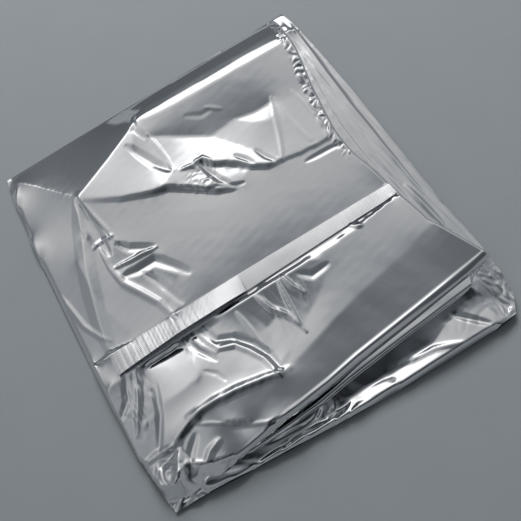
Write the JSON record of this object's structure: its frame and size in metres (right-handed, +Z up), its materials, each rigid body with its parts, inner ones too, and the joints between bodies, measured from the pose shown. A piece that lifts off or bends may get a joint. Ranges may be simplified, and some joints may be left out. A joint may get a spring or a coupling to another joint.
{
  "type": "light-proof bag",
  "caption": "Large empty bag of metallised film with a back fin seam, folded once and lying flat, for keeping light and moisture off its contents.",
  "frame": {"origin": "centre of the footprint, on the floor that the bag lies on", "axes": "+X along the back seam, from the fold across the bag to its open end; +Y along that fold, away from the viewer of the picture; +Z up"},
  "size_m": [0.23, 0.259, 0.02],
  "materials": {
    "metallised_film": "gloss"
  },
  "bodies": {
    "root": {"light_proof_bag": "metallised_film"}
  },
  "joints": []
}
